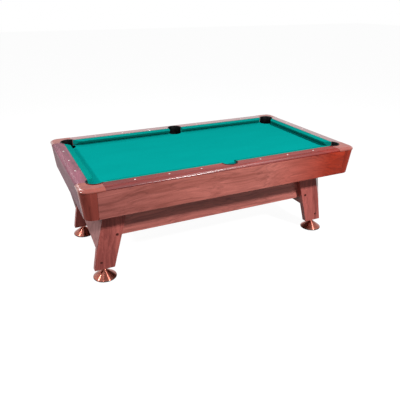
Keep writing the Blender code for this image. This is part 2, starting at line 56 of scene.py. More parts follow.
bpy.context.scene.camera = camera

# Studio
# The floor is seen white, as the surround is, but throws little light back. The front box shades the legs
# under the aprons, and the left one shades the bed beside its cushion. Weaker ones light the right end and
# the back, and two small ones make the glints on the caps, the near nosing and the feet.
white = (1.0, 1.0, 1.0, 1.0)
ambient_strength = 0.19
wall_strength = 1.0
floor_colour = (0.12, 0.12, 0.12, 1.0)
floor_strength = 0.95
floor_half = 30.0
lamp_target = Vector((0.0, 0.0, 0.6))
bpy.context.scene.view_settings.view_transform = "Standard"


def seen_directly(tree):
    """A mask that is 1 for what the camera, a reflection or a refraction sees."""
    path = tree.nodes.new("ShaderNodeLightPath")
    seen = path.outputs["Is Camera Ray"]
    for ray in ("Is Glossy Ray", "Is Transmission Ray"):
        either = tree.nodes.new("ShaderNodeMath")
        either.operation = "MAXIMUM"
        tree.links.new(seen, either.inputs[0])
        tree.links.new(path.outputs[ray], either.inputs[1])
        seen = either.outputs["Value"]
    return seen


surround = bpy.data.worlds.new("white_surround")
surround.use_nodes = True
surround_tree = surround.node_tree
surround_tree.nodes.clear()
wall_or_light = surround_tree.nodes.new("ShaderNodeMixShader")
surround_output = surround_tree.nodes.new("ShaderNodeOutputWorld")
surround_tree.links.new(seen_directly(surround_tree), wall_or_light.inputs[0])
for place, strength in ((1, ambient_strength), (2, wall_strength)):
    plain = surround_tree.nodes.new("ShaderNodeBackground")
    plain.inputs["Color"].default_value = white
    plain.inputs["Strength"].default_value = strength
    surround_tree.links.new(plain.outputs["Background"], wall_or_light.inputs[place])
surround_tree.links.new(wall_or_light.outputs[0], surround_output.inputs["Surface"])
bpy.context.scene.world = surround

floor_paint = bpy.data.materials.new("pale_floor")
floor_paint.use_nodes = True
floor_tree = floor_paint.node_tree
floor_shader = floor_tree.nodes["Principled BSDF"]
floor_shader.inputs["Base Color"].default_value = floor_colour
floor_shader.inputs["Roughness"].default_value = 0.9
floor_shader.inputs["Specular IOR Level"].default_value = 0.0
floor_shader.inputs["Emission Color"].default_value = white
floor_glow = floor_tree.nodes.new("ShaderNodeMath")
floor_glow.operation = "MULTIPLY"
floor_glow.inputs[1].default_value = floor_strength
floor_tree.links.new(seen_directly(floor_tree), floor_glow.inputs[0])
floor_tree.links.new(floor_glow.outputs["Value"], floor_shader.inputs["Emission Strength"])

floor_bm = bmesh.new()
bmesh.ops.create_grid(floor_bm, x_segments=4, y_segments=4, size=floor_half)
floor_mesh = bpy.data.meshes.new("studio_floor")
floor_bm.to_mesh(floor_mesh)
floor_bm.free()
floor_mesh.materials.append(floor_paint)
studio_floor = bpy.data.objects.new("studio_floor", floor_mesh)
bpy.context.scene.collection.objects.link(studio_floor)


def soft_box(name, azimuth, elevation, distance, size, watts):
    """A square lamp aimed at the table; azimuth 0 is in front of the near side, + to the right."""
    lamp = bpy.data.lights.new(name, "AREA")
    lamp.shape = "SQUARE"
    lamp.size = size
    lamp.energy = watts
    turn = math.radians(azimuth)
    rise = math.radians(elevation)
    way = Vector((math.sin(turn) * math.cos(rise), -math.cos(turn) * math.cos(rise), math.sin(rise)))
    box = bpy.data.objects.new(name, lamp)
    box.location = lamp_target + way * distance
    box.rotation_euler = way.to_track_quat("Z", "Y").to_euler()
    bpy.context.scene.collection.objects.link(box)


soft_box("front_soft_box", azimuth=20.0, elevation=34.3, distance=6.0, size=0.4, watts=300.0)
soft_box("left_soft_box", azimuth=-92.0, elevation=33.0, distance=4.5, size=0.5, watts=80.0)
soft_box("glint_soft_box", azimuth=-44.0, elevation=32.0, distance=4.5, size=0.26, watts=11.0)
soft_box("right_soft_box", azimuth=100.0, elevation=62.0, distance=4.5, size=1.8, watts=22.0)
soft_box("back_soft_box", azimuth=205.0, elevation=36.0, distance=4.5, size=1.0, watts=36.0)
soft_box("high_soft_box", azimuth=60.0, elevation=65.0, distance=4.5, size=0.42, watts=44.0)

# Stretchers
# Two long boards and two end boards tie the four legs together under the bed. They are chipboard
# with a rosewood-grain facing, edge banded, and bolted through the legs at their ends.
along_length = (0.0, 0.0, 0.0)
along_width = (0.0, 0.0, math.radians(90))
along_height = (0.0, math.radians(90), 0.0)
pore_depth = 0.00008
lacquer_roughness = 0.12


def on_piece(tree, kind="Object"):
    """The piece's own coordinates: Object, Normal or UV."""
    return tree.nodes.new("ShaderNodeTexCoord").outputs[kind]


def noise(tree, coordinates, repeats, detail, roughness=0.5, distortion=0.0):
    """Noise with its repeats per metre along, across and through the piece."""
    spread = tree.nodes.new("ShaderNodeMapping")
    spread.inputs["Scale"].default_value = repeats
    tree.links.new(coordinates, spread.inputs["Vector"])
    texture = tree.nodes.new("ShaderNodeTexNoise")
    texture.inputs["Scale"].default_value = 1.0
    texture.inputs["Detail"].default_value = detail
    texture.inputs["Roughness"].default_value = roughness
    texture.inputs["Distortion"].default_value = distortion
    tree.links.new(spread.outputs["Vector"], texture.inputs["Vector"])
    return texture.outputs["Fac"]


def stretch(tree, value, low, high, new_low=0.0, new_high=1.0):
    """Spread the span from low to high over a new span, and hold it there."""
    ranged = tree.nodes.new("ShaderNodeMapRange")
    ranged.inputs["From Min"].default_value = low
    ranged.inputs["From Max"].default_value = high
    ranged.inputs["To Min"].default_value = new_low
    ranged.inputs["To Max"].default_value = new_high
    tree.links.new(value, ranged.inputs["Value"])
    return ranged.outputs["Result"]


def reckon(tree, operation, first, second):
    """A Math node on two values, each a socket or a plain number."""
    step = tree.nodes.new("ShaderNodeMath")
    step.operation = operation
    for socket, value in zip(step.inputs, (first, second)):
        if isinstance(value, float):
            socket.default_value = value
        else:
            tree.links.new(value, socket)
    return step.outputs["Value"]


def weighted_sum(tree, *terms):
    """The sum of values, each times its weight."""
    scaled = [reckon(tree, "MULTIPLY", value, weight) for value, weight in terms]
    total = scaled[0]
    for term in scaled[1:]:
        total = reckon(tree, "ADD", total, term)
    return total


def tint(tree, share, first, second, blend="MIX"):
    """Mix two colours, each a socket or a plain colour."""
    mixed = tree.nodes.new("ShaderNodeMix")
    mixed.data_type = "RGBA"
    mixed.blend_type = blend
    for socket, value in zip((mixed.inputs[0], mixed.inputs[6], mixed.inputs[7]), (share, first, second)):
        if isinstance(value, float):
            socket.default_value = value
        elif isinstance(value, tuple):
            socket.default_value = (*value, 1.0)
        else:
            tree.links.new(value, socket)
    return mixed.outputs[2]


def group_with(name, inputs, outputs):
    """An empty node group with named sockets, and its inner input and output nodes."""
    group = bpy.data.node_groups.new(name, "ShaderNodeTree")
    for socket, kind in inputs:
        group.interface.new_socket(socket, in_out="INPUT", socket_type=kind)
    for socket, kind in outputs:
        group.interface.new_socket(socket, in_out="OUTPUT", socket_type=kind)
    return group, group.nodes.new("NodeGroupInput"), group.nodes.new("NodeGroupOutput")


figure, figure_in, figure_out = group_with(
    "rosewood_figure",
    [("Grain", "NodeSocketVector"), ("Light", "NodeSocketColor"), ("Dark", "NodeSocketColor")],
    [("Color", "NodeSocketColor"), ("Gloss", "NodeSocketFloat"), ("Height", "NodeSocketFloat")])
wander = noise(figure, figure_in.outputs["Grain"], (1.7, 2.6, 2.6), 0.0)
drift = stretch(figure, wander, 0.2, 0.8, -0.05, 0.05)
sideways = figure.nodes.new("ShaderNodeCombineXYZ")
for axis in ("Y", "Z"):
    figure.links.new(drift, sideways.inputs[axis])
shifted = figure.nodes.new("ShaderNodeVectorMath")
figure.links.new(figure_in.outputs["Grain"], shifted.inputs[0])
figure.links.new(sideways.outputs["Vector"], shifted.inputs[1])
along_grain = shifted.outputs["Vector"]
cathedral = noise(figure, along_grain, (0.8, 13.0, 13.0), 3.0, 0.55, 0.5)
streaks = noise(figure, along_grain, (1.8, 70.0, 70.0), 4.0, 0.6, 0.6)
growth = noise(figure, along_grain, (0.55, 24.0, 24.0), 2.0, 0.5, 0.9)
pores = noise(figure, along_grain, (55.0, 1100.0, 1100.0), 1.0)
handling = noise(figure, along_grain, (5.0, 7.0, 7.0), 3.0)
tone = stretch(figure, weighted_sum(figure, (cathedral, 0.58), (streaks, 0.42)), 0.36, 0.62)
vein = reckon(figure, "ABSOLUTE", reckon(figure, "SUBTRACT", growth, 0.5), 0.0)
vein = stretch(figure, vein, 0.0, 0.035, 0.78, 1.0)
pore = stretch(figure, pores, 0.30, 0.42, 0.74, 1.0)
figured = tint(figure, tone, figure_in.outputs["Dark"], figure_in.outputs["Light"])
shaded = reckon(figure, "MULTIPLY", vein, pore)
shaded_colour = figure.nodes.new("ShaderNodeCombineColor")
for channel in ("Red", "Green", "Blue"):
    figure.links.new(shaded, shaded_colour.inputs[channel])
veined = tint(figure, 1.0, figured, shaded_colour.outputs["Color"], "MULTIPLY")
figure.links.new(veined, figure_out.inputs["Color"])
figure.links.new(weighted_sum(figure, (streaks, 0.45), (handling, 0.55)), figure_out.inputs["Gloss"])
figure.links.new(weighted_sum(figure, (streaks, 0.5), (pore, 1.0)), figure_out.inputs["Height"])


def new_material(name):
    """A material, its node tree and its shader."""
    material = bpy.data.materials.new(name)
    material.use_nodes = True
    return material, material.node_tree, material.node_tree.nodes["Principled BSDF"]


def turned_grain(tree, turn):
    """The piece's coordinates, turned so that the grain lies on X."""
    mapping = tree.nodes.new("ShaderNodeMapping")
    mapping.inputs["Rotation"].default_value = turn
    tree.links.new(on_piece(tree), mapping.inputs["Vector"])
    return mapping.outputs["Vector"]


def place_group(tree, group, coordinates, colours):
    """Put a group into a material, with coordinates for its first input and its colours set."""
    placed = tree.nodes.new("ShaderNodeGroup")
    placed.node_tree = group
    tree.links.new(coordinates, placed.inputs[0])
    for name, colour in colours.items():
        placed.inputs[name].default_value = (*colour, 1.0)
    return placed


def raise_surface(tree, shader, height, depth, strength):
    """Bump the surface by a height value, with its depth in metres."""
    bump = tree.nodes.new("ShaderNodeBump")
    bump.inputs["Distance"].default_value = depth
    bump.inputs["Strength"].default_value = strength
    tree.links.new(height, bump.inputs["Height"])
    tree.links.new(bump.outputs["Normal"], shader.inputs["Normal"])


def rosewood(name, turn, light, dark, smooth, rough, shine, lacquer):
    """Rosewood-grain facing; shine is its own reflection and lacquer a clear coat over it."""
    material, tree, shader = new_material(name)
    grain = place_group(tree, figure, turned_grain(tree, turn), {"Light": light, "Dark": dark})
    roughness = stretch(tree, grain.outputs["Gloss"], 0.3, 0.7, smooth, rough)
    tree.links.new(grain.outputs["Color"], shader.inputs["Base Color"])
    tree.links.new(roughness, shader.inputs["Roughness"])
    raise_surface(tree, shader, grain.outputs["Height"], pore_depth, 0.5)
    shader.inputs["Specular IOR Level"].default_value = shine
    shader.inputs["Coat Weight"].default_value = lacquer
    shader.inputs["Coat Roughness"].default_value = lacquer_roughness
    return material


def merged_copy(node):
    """A copy of a CAD node's mesh with its loose triangles joined into whole faces."""
    bm = bmesh.new()
    bm.from_mesh(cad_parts[node].data)
    bmesh.ops.remove_doubles(bm, verts=bm.verts[:], dist=0.00002)
    bmesh.ops.dissolve_limit(bm, angle_limit=math.radians(0.5), verts=bm.verts[:], edges=bm.edges[:])
    return bm


def round_over(bm, edges, radius, segments, clamp=False):
    """Round edges off by a radius."""
    return bmesh.ops.bevel(bm, geom=edges, offset=radius, offset_type="OFFSET", segments=segments,
                           profile=0.5, affect="EDGES", material=-1, clamp_overlap=clamp)


def ease_edges(bm, radius, shortest=0.010, steepest=30.0):
    """Round the long sharp edges of a board."""
    sharp = [edge for edge in bm.edges if len(edge.link_faces) == 2 and edge.calc_length() > shortest
             and edge.calc_face_angle() > math.radians(steepest)]
    round_over(bm, sharp, radius, 3)


def fill_mesh(mesh, bm, crease):
    """Put a finished bmesh into a mesh, smooth except where it turns by more than the crease."""
    bm.to_mesh(mesh)
    bm.free()
    mesh.shade_smooth()
    mesh.set_sharp_from_angle(angle=math.radians(crease))


def add_piece(name, bm, material, body="table", replaced=()):
    """Turn a bmesh into a finished piece that rides on a body."""
    mesh = bpy.data.meshes.new(name)
    fill_mesh(mesh, bm, 40.0)
    mesh.materials.append(material)
    piece = bpy.data.objects.new(name, mesh)
    bpy.context.scene.collection.objects.link(piece)
    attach(piece, body)
    if replaced:
        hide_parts(*replaced)
    return piece


def keep_flats(piece):
    """Let the large flat faces rule the shading at their rounded edges."""
    weighted = piece.modifiers.new("flat_faces", "WEIGHTED_NORMAL")
    weighted.keep_sharp = True


def dress_board(node, name, material, radius):
    """Round the edges of a CAD board and give it its facing."""
    board = merged_copy(node)
    ease_edges(board, radius)
    keep_flats(add_piece(name, board, material, replaced=[node]))


# The long boards' facing is lighter than the end boards', painted light that makes up for the shade under the
# aprons.
stretcher_long = rosewood(
    "stretcher_long_facing", along_length, light=(0.72, 0.226, 0.184), dark=(0.345, 0.089, 0.072),
    smooth=0.34, rough=0.46, shine=0.25, lacquer=0.05)
stretcher_end = rosewood(
    "stretcher_end_facing", along_width, light=(0.48, 0.126, 0.088), dark=(0.23, 0.048, 0.033),
    smooth=0.34, rough=0.46, shine=0.25, lacquer=0.05)
stretcher_edge = 0.0015
for side, facing in (("near", stretcher_long), ("far", stretcher_long), ("left", stretcher_end),
                     ("right", stretcher_end)):
    node = "stretcher_" + side
    dress_board(node, node + "_board", facing, stretcher_edge)

# Legs
# Four splayed plate legs, each one thick board with a triangular wing glued along its outer edge.
# Both are faced in the same rosewood grain, run upright, and their edges are slightly rounded.
leg_facing = rosewood(
    "leg_facing", along_height, light=(0.607, 0.159, 0.133), dark=(0.284, 0.0635, 0.055),
    smooth=0.33, rough=0.45, shine=0.12, lacquer=0.0)
# The wings' greyer mauve is the facing's colour with a painted reflection of the white surround in it.
wing_facing = rosewood(
    "wing_facing", along_height, light=(0.52, 0.258, 0.248), dark=(0.36, 0.168, 0.160),
    smooth=0.34, rough=0.44, shine=0.30, lacquer=0.05)
leg_edge = 0.0025
wing_edge = 0.0012
corners = {"near_left": (-1, -1), "near_right": (1, -1), "far_left": (-1, 1), "far_right": (1, 1)}
for corner in corners:
    dress_board("leg_" + corner, "leg_plate_" + corner, leg_facing, leg_edge)
    dress_board("leg_wing_" + corner, "wing_" + corner, wing_facing, wing_edge)

# Leg bolts
# Each leg is drawn against the end stretcher by a dark brown bolt with a low domed head and a hexagon
# socket. A second, shorter one lower down closes the bore over the leveling foot's threaded socket.
leg_face = 0.392
seat_gap = 0.0003
bolt_place = (0.820, 0.334)
plug_place = (0.951, 0.132)


def mottle(tree, shader, share, first, second, gloss, smooth, rough):
    """Mix two colours by a share, and let the roughness follow a gloss value."""
    tree.links.new(tint(tree, share, first, second), shader.inputs["Base Color"])
    tree.links.new(stretch(tree, gloss, 0.3, 0.7, smooth, rough), shader.inputs["Roughness"])


enamel, enamel_tree, enamel_shader = new_material("bolt_enamel")
scuffs = noise(enamel_tree, on_piece(enamel_tree), (420.0, 420.0, 420.0), 3.0)
mottle(enamel_tree, enamel_shader, stretch(enamel_tree, scuffs, 0.4, 0.7), (0.090, 0.016, 0.012),
       (0.140, 0.030, 0.022), scuffs, 0.30, 0.50)
enamel_shader.inputs["Specular IOR Level"].default_value = 0.15


def grown_verts(result):
    """The new vertices of an extrusion."""
    return [item for item in result["geom"] if isinstance(item, bmesh.types.BMVert)]


def grown_edges(result):
    """The new edges of an extrusion."""
    return [item for item in result["geom"] if isinstance(item, bmesh.types.BMEdge)]


def turned_shape(profile, steps):
    """Spin a profile of (radius, height) about Z; points on the axis close the ends."""
    bm = bmesh.new()
    points = [bm.verts.new((radius, 0.0, height)) for radius, height in profile]
    line = [bm.edges.new(pair) for pair in zip(points, points[1:])]
    bmesh.ops.spin(bm, geom=points + line, cent=(0.0, 0.0, 0.0), axis=(0.0, 0.0, 1.0), angle=math.tau,
                   steps=steps, use_merge=True)
    bmesh.ops.remove_doubles(bm, verts=bm.verts[:], dist=0.000005)
    bmesh.ops.recalc_face_normals(bm, faces=bm.faces[:])
    return bm


def bolt_shape(head_radius, head_height, shank_radius, shank_length):
    """A domed head with a hexagon socket sunk into it, on a plain shank along -Z."""
    socket_mouth = head_radius * 0.52
    profile = [
        (socket_mouth, head_height), (head_radius * 0.80, head_height * 0.86),
        (head_radius * 0.94, head_height * 0.62), (head_radius, head_height * 0.30), (head_radius, 0.0),
        (shank_radius, 0.0), (shank_radius, -shank_length), (0.0, -shank_length)]
    bm = turned_shape(profile, 36)
    mouth = [edge for edge in bm.edges if edge.is_boundary]
    hexagon = bmesh.ops.create_circle(bm, cap_ends=False, radius=socket_mouth * 0.86, segments=6,
                                      matrix=Matrix.Translation((0.0, 0.0, head_height)))
    flats = [edge for edge in bm.edges if all(vert in hexagon["verts"] for vert in edge.verts)]
    bmesh.ops.bridge_loops(bm, edges=mouth + flats)
    sunk = bmesh.ops.extrude_edge_only(bm, edges=flats)
    bmesh.ops.translate(bm, verts=grown_verts(sunk), vec=(0.0, 0.0, -head_height * 0.7))
    bmesh.ops.contextual_create(bm, geom=grown_edges(sunk))
    bmesh.ops.recalc_face_normals(bm, faces=bm.faces[:])
    return bm


def drive(bm, place, sx, sy):
    """Turn a bolt to point out of the leg's face, and seat it at (x, z) there."""
    seat = Matrix.Translation((sx * place[0], sy * (leg_face + seat_gap), place[1]))
    outward = Matrix.Rotation(math.radians(-90 * sy), 4, "X")
    bmesh.ops.transform(bm, matrix=seat @ outward, verts=bm.verts[:])


for corner, (sx, sy) in corners.items():
    bolt = bolt_shape(head_radius=0.0105, head_height=0.0045, shank_radius=0.004, shank_length=0.083)
    drive(bolt, bolt_place, sx, sy)
    add_piece("leg_bolt_head_" + corner, bolt, enamel, replaced=["leg_bolt_" + corner])
    plug = bolt_shape(head_radius=0.0095, head_height=0.0035, shank_radius=0.004, shank_length=0.010)
    drive(plug, plug_place, sx, sy)
    add_piece("leg_plug_" + corner, plug, enamel)

# Leveling feet
# Hollow cones of copper-plated steel, spun on a lathe and thinly lacquered, with a near-black band round the
# foot of the rim, and welded to a neck and a threaded stud. The stud screws up into a zinc-plated steel
# socket that is driven into the bottom of the leg.
foot_place = (0.9315, 0.36815)
foot_radius = 0.0855
dark_band_top = 0.0074
plate_start = 0.0078
cone_foot = 0.0072
neck_radius = 0.013
neck_base = 0.0627
neck_top = 0.0727
cone_ceiling = neck_base - 0.0052
stud_radius = 0.006
stud_top = 0.1147
thread_pitch = 0.0020
thread_depth = 0.0006


def one_axis(tree, coordinates, axis):
    """One axis of some coordinates."""
    split = tree.nodes.new("ShaderNodeSeparateXYZ")
    tree.links.new(coordinates, split.inputs["Vector"])
    return split.outputs[axis]


zinc, zinc_tree, zinc_shader = new_material("zinc_plate")
spangle = noise(zinc_tree, on_piece(zinc_tree), (260.0, 260.0, 260.0), 3.0)
mottle(zinc_tree, zinc_shader, spangle, (0.46, 0.46, 0.47), (0.64, 0.64, 0.65), spangle, 0.28, 0.48)
zinc_shader.inputs["Metallic"].default_value = 1.0

copper, copper_tree, copper_shader = new_material("copper_plate")
turning = noise(copper_tree, on_piece(copper_tree, "UV"), (3.0, 160.0, 1.0), 2.0)
tarnish = noise(copper_tree, on_piece(copper_tree), (34.0, 34.0, 34.0), 4.0, 0.6, 0.4)
above_dark_band = stretch(copper_tree, one_axis(copper_tree, on_piece(copper_tree), "Z"), dark_band_top, plate_start)
plated = tint(copper_tree, stretch(copper_tree, tarnish, 0.40, 0.72), (0.42, 0.134, 0.098),
              (0.28, 0.078, 0.056))
# The lowest 7 mm of the foot are coloured near-black, rougher, and without metal or lacquer.
plated_or_dark_band = tint(copper_tree, above_dark_band, (0.020, 0.012, 0.010), plated)
plate_gloss = stretch(copper_tree, reckon(copper_tree, "ADD", turning, tarnish), 0.7, 1.3, 0.22, 0.34)
dark_band_gloss = stretch(copper_tree, above_dark_band, 0.0, 1.0, 0.6, 0.0)
foot_gloss = reckon(copper_tree, "MAXIMUM", plate_gloss, dark_band_gloss)
foot_lacquer = stretch(copper_tree, above_dark_band, 0.0, 1.0, 0.0, 0.12)
copper_tree.links.new(plated_or_dark_band, copper_shader.inputs["Base Color"])
copper_tree.links.new(foot_gloss, copper_shader.inputs["Roughness"])
copper_tree.links.new(above_dark_band, copper_shader.inputs["Metallic"])
copper_tree.links.new(foot_lacquer, copper_shader.inputs["Coat Weight"])
copper_shader.inputs["Coat Roughness"].default_value = 0.10
raise_surface(copper_tree, copper_shader, turning, 0.00006, 0.12)
lathe_marks = copper_tree.nodes.new("ShaderNodeTangent")
lathe_marks.direction_type = "UV_MAP"
lathe_marks.uv_map = "turned"
copper_tree.links.new(lathe_marks.outputs["Tangent"], copper_shader.inputs["Tangent"])
copper_shader.inputs["Anisotropic"].default_value = 0.95
copper_shader.inputs["Anisotropic Rotation"].default_value = 0.25


def foot_profile():
    """From the stud's tip down its thread, the neck, the cone and the rim, and up inside the cone."""
    points = [(0.0, stud_top), (stud_radius - 0.0012, stud_top), (stud_radius, stud_top - 0.0012)]
    level = stud_top - 0.0022
    while level > neck_top + thread_pitch:
        points += [(stud_radius - thread_depth, level), (stud_radius, level - thread_pitch / 2)]
        level -= thread_pitch
    points += [(stud_radius - thread_depth, neck_top + 0.0004), (neck_radius - 0.0015, neck_top + 0.0001),
               (neck_radius - 0.0004, neck_top - 0.0005), (neck_radius, neck_top - 0.0016),
               (neck_radius, neck_base + 0.0010), (neck_radius + 0.0006, neck_base - 0.0002)]
    for share in (0.12, 0.30, 0.50, 0.70, 0.88):
        out = neck_radius + (foot_radius - neck_radius) * share
        points.append((out, neck_base - (neck_base - cone_foot) * share))
    points += [(foot_radius - 0.0018, 0.0080), (foot_radius - 0.0004, 0.0064), (foot_radius, 0.0050),
               (foot_radius, 0.0018), (foot_radius - 0.0006, 0.0005), (foot_radius - 0.0020, 0.0),
               (foot_radius - 0.0100, 0.0), (foot_radius - 0.0118, 0.0008), (foot_radius - 0.0120, 0.0060),
               (neck_radius, cone_ceiling), (0.0, cone_ceiling)]
    return points


def unroll(bm):
    """A UV map that runs round the axis on U and along the profile on V, with no jump inside a face."""
    polar = bm.loops.layers.uv.new("turned")
    for face in bm.faces:
        middle = face.calc_center_median()
        angle = math.atan2(middle.y, middle.x)
        for loop in face.loops:
            spot = loop.vert.co
            out = spot.xy.length
            aside = (middle.x * spot.y - middle.y * spot.x) / (middle.xy.length * max(out, 0.0001))
            loop[polar].uv = ((angle + math.asin(aside)) / math.tau, out + spot.z)


for corner, (sx, sy) in corners.items():
    socket_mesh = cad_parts["leveler_socket_" + corner].data
    socket_mesh.materials.clear()
    socket_mesh.materials.append(zinc)
    foot = turned_shape(foot_profile(), 96)
    unroll(foot)
    bmesh.ops.translate(foot, verts=foot.verts[:], vec=(sx * foot_place[0], sy * foot_place[1], 0.0))
    add_piece("foot_cone_" + corner, foot, copper, body="foot_" + corner,
              replaced=["leveler_" + corner])

# Cross members
# Four sawn softwood timbers lie across the frame between the long aprons and carry the bed board.
# They are left raw, with the marks of the saw, and are screwed through the aprons' inner faces.
timber_edge = 0.0020
sawn, sawn_tree, sawn_shader = new_material("sawn_softwood")
sawn_grain = turned_grain(sawn_tree, along_width)
rings = noise(sawn_tree, sawn_grain, (1.5, 60.0, 60.0), 3.0, 0.5, 0.8)
saw_marks = noise(sawn_tree, sawn_grain, (240.0, 20.0, 20.0), 2.0)
mottle(sawn_tree, sawn_shader, stretch(sawn_tree, rings, 0.38, 0.62), (0.30, 0.19, 0.10),
       (0.47, 0.34, 0.20), rings, 0.72, 0.90)
raise_surface(sawn_tree, sawn_shader, reckon(sawn_tree, "ADD", rings, saw_marks), 0.0004, 0.5)
for number in (1, 2, 3, 4):
    dress_board(f"cross_member_{number}", f"cross_timber_{number}", sawn, timber_edge)

# Bed board
# One panel of dense fibreboard on the cross members, bored with six pocket holes. The upper edge of
# each hole is rounded over so that the cloth can turn down into the pocket.
board_corner = 0.0707
board_bore = 0.0588
board_low, board_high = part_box("bed_board")
pockets = {corner: (sx * 0.956, sy * 0.481) for corner, (sx, sy) in corners.items()}
pockets["near_side"] = (0.0, -0.520)
pockets["far_side"] = (0.0, 0.520)
fibre, fibre_tree, fibre_shader = new_material("raw_fibreboard")
flecks = noise(fibre_tree, on_piece(fibre_tree), (380.0, 380.0, 380.0), 4.0, 0.7)
clouds = noise(fibre_tree, on_piece(fibre_tree), (7.0, 7.0, 7.0), 2.0)
fibre_tone = weighted_sum(fibre_tree, (flecks, 0.6), (clouds, 0.4))
mottle(fibre_tree, fibre_shader, stretch(fibre_tree, fibre_tone, 0.36, 0.64), (0.22, 0.14, 0.08),
       (0.36, 0.25, 0.15), flecks, 0.75, 0.92)
raise_surface(fibre_tree, fibre_shader, flecks, 0.0002, 0.5)


def rounded_panel(half_x, half_y, radius, low, high):
    """A flat panel with rounded corners, from a block bevelled along its four upright edges."""
    bm = bmesh.new()
    size = Matrix.Diagonal((2 * half_x, 2 * half_y, high - low, 1.0))
    bmesh.ops.create_cube(bm, size=1.0, matrix=Matrix.Translation((0.0, 0.0, (low + high) / 2)) @ size)
    upright = [edge for edge in bm.edges if abs(edge.verts[0].co.z - edge.verts[1].co.z) > (high - low) / 2]
    round_over(bm, upright, radius, 12)
    return bm


def carve(piece, cutter_bm):
    """Cut one shape out of a piece with a Boolean and keep the result as its mesh."""
    bmesh.ops.recalc_face_normals(cutter_bm, faces=cutter_bm.faces[:])
    cutter_mesh = bpy.data.meshes.new("cutter")
    cutter_bm.to_mesh(cutter_mesh)
    cutter_bm.free()
    cutter = bpy.data.objects.new("cutter", cutter_mesh)
    bpy.context.scene.collection.objects.link(cutter)
    cut = piece.modifiers.new("cut", "BOOLEAN")
    cut.operation = "DIFFERENCE"
    cut.solver = "EXACT"
    cut.object = cutter
    whole = piece.data
    name = whole.name
    carved = bpy.data.meshes.new_from_object(piece.evaluated_get(bpy.context.evaluated_depsgraph_get()))
    piece.modifiers.remove(cut)
    piece.data = carved
    bpy.data.objects.remove(cutter)
    bpy.data.meshes.remove(cutter_mesh)
    bpy.data.meshes.remove(whole)
    carved.name = name


def bore(piece, centre, radius, low, high):
    """Drill a round hole straight down through a piece that lies between two levels."""
    overshoot = 0.01
    drill = bmesh.new()
    middle = Matrix.Translation((centre[0], centre[1], (low + high) / 2))
    bmesh.ops.create_cone(drill, cap_ends=True, segments=96, radius1=radius, radius2=radius,
                          depth=high - low + 2 * overshoot, matrix=middle)
    carve(piece, drill)


def reopen(piece):
    """The piece's mesh in a bmesh again, with doubles merged."""
    bm = bmesh.new()
    bm.from_mesh(piece.data)
    bmesh.ops.remove_doubles(bm, verts=bm.verts[:], dist=0.000005)
    return bm


def on_hole_rim(vert):
    """Whether a vertex of the board lies on the upper edge of a pocket hole."""
    at_top = vert.co.z > board_high.z - 0.0001
    return at_top and any((vert.co.xy - Vector(centre)).length < board_bore + 0.0005
                          for centre in pockets.values())


panel = rounded_panel(board_high.x, board_high.y, board_corner, board_low.z, board_high.z)
bed_panel = add_piece("bed_panel", panel, fibre, replaced=["bed_board"])
for centre in pockets.values():
    bore(bed_panel, centre, board_bore, board_low.z, board_high.z)
panel = reopen(bed_panel)
hole_rims = [edge for edge in panel.edges if all(on_hole_rim(vert) for vert in edge.verts)]
round_over(panel, hole_rims, 0.0020, 4)
fill_mesh(bed_panel.data, panel, 40.0)

# Bed cloth
# One piece of napped wool and nylon cloth, stretched over the whole board and stapled under the rails.
# At the pockets it is slit, turned down over the rounded edge of the board and glued.
cloth_top = 0.750
cloth_thickness = 0.001
turn_down = 0.003
cloth_hole = 0.0576
weave, weave_in, weave_out = group_with(
    "cloth_weave",
    [("Place", "NodeSocketVector"), ("Ground", "NodeSocketColor"), ("Nap", "NodeSocketColor")],
    [("Color", "NodeSocketColor"), ("Roughness", "NodeSocketFloat"), ("Height", "NodeSocketFloat")])
cloth_place = weave_in.outputs["Place"]
threads = []
for direction in ("X", "Y"):
    rows = weave.nodes.new("ShaderNodeTexWave")
    rows.wave_type = "BANDS"
    rows.bands_direction = direction
    rows.inputs["Scale"].default_value = 260.0
    rows.inputs["Distortion"].default_value = 1.6
    rows.inputs["Detail"].default_value = 2.0
    rows.inputs["Detail Scale"].default_value = 1.5
    weave.links.new(cloth_place, rows.inputs["Vector"])
    threads.append(rows.outputs["Fac"])
crossing = reckon(weave, "MULTIPLY", threads[0], threads[1])
fibres = noise(weave, cloth_place, (900.0, 900.0, 900.0), 3.0, 0.7)
brushing = noise(weave, cloth_place, (3.0, 9.0, 9.0), 3.0, 0.5)
nap = stretch(weave, weighted_sum(weave, (fibres, 0.45), (brushing, 0.35), (crossing, 0.20)), 0.28, 0.66)
dyed = tint(weave, nap, weave_in.outputs["Ground"], weave_in.outputs["Nap"])
weave.links.new(dyed, weave_out.inputs["Color"])
weave.links.new(stretch(weave, fibres, 0.3, 0.7, 0.88, 1.0), weave_out.inputs["Roughness"])
weave.links.new(reckon(weave, "ADD", crossing, fibres), weave_out.inputs["Height"])


def billiard_cloth(name, ground, nap_colour):
    """Dyed billiard cloth with a short brushed nap."""
    material, tree, shader = new_material(name)
    woven = place_group(tree, weave, on_piece(tree), {"Ground": ground, "Nap": nap_colour})
    tree.links.new(woven.outputs["Color"], shader.inputs["Base Color"])
    tree.links.new(woven.outputs["Roughness"], shader.inputs["Roughness"])
    raise_surface(tree, shader, woven.outputs["Height"], 0.00025, 0.45)
    shader.inputs["Specular IOR Level"].default_value = 0.0
    shader.inputs["Sheen Weight"].default_value = 0.01
    shader.inputs["Sheen Roughness"].default_value = 0.5
    shader.inputs["Sheen Tint"].default_value = (0.05, 0.75, 0.68, 1.0)
    return material


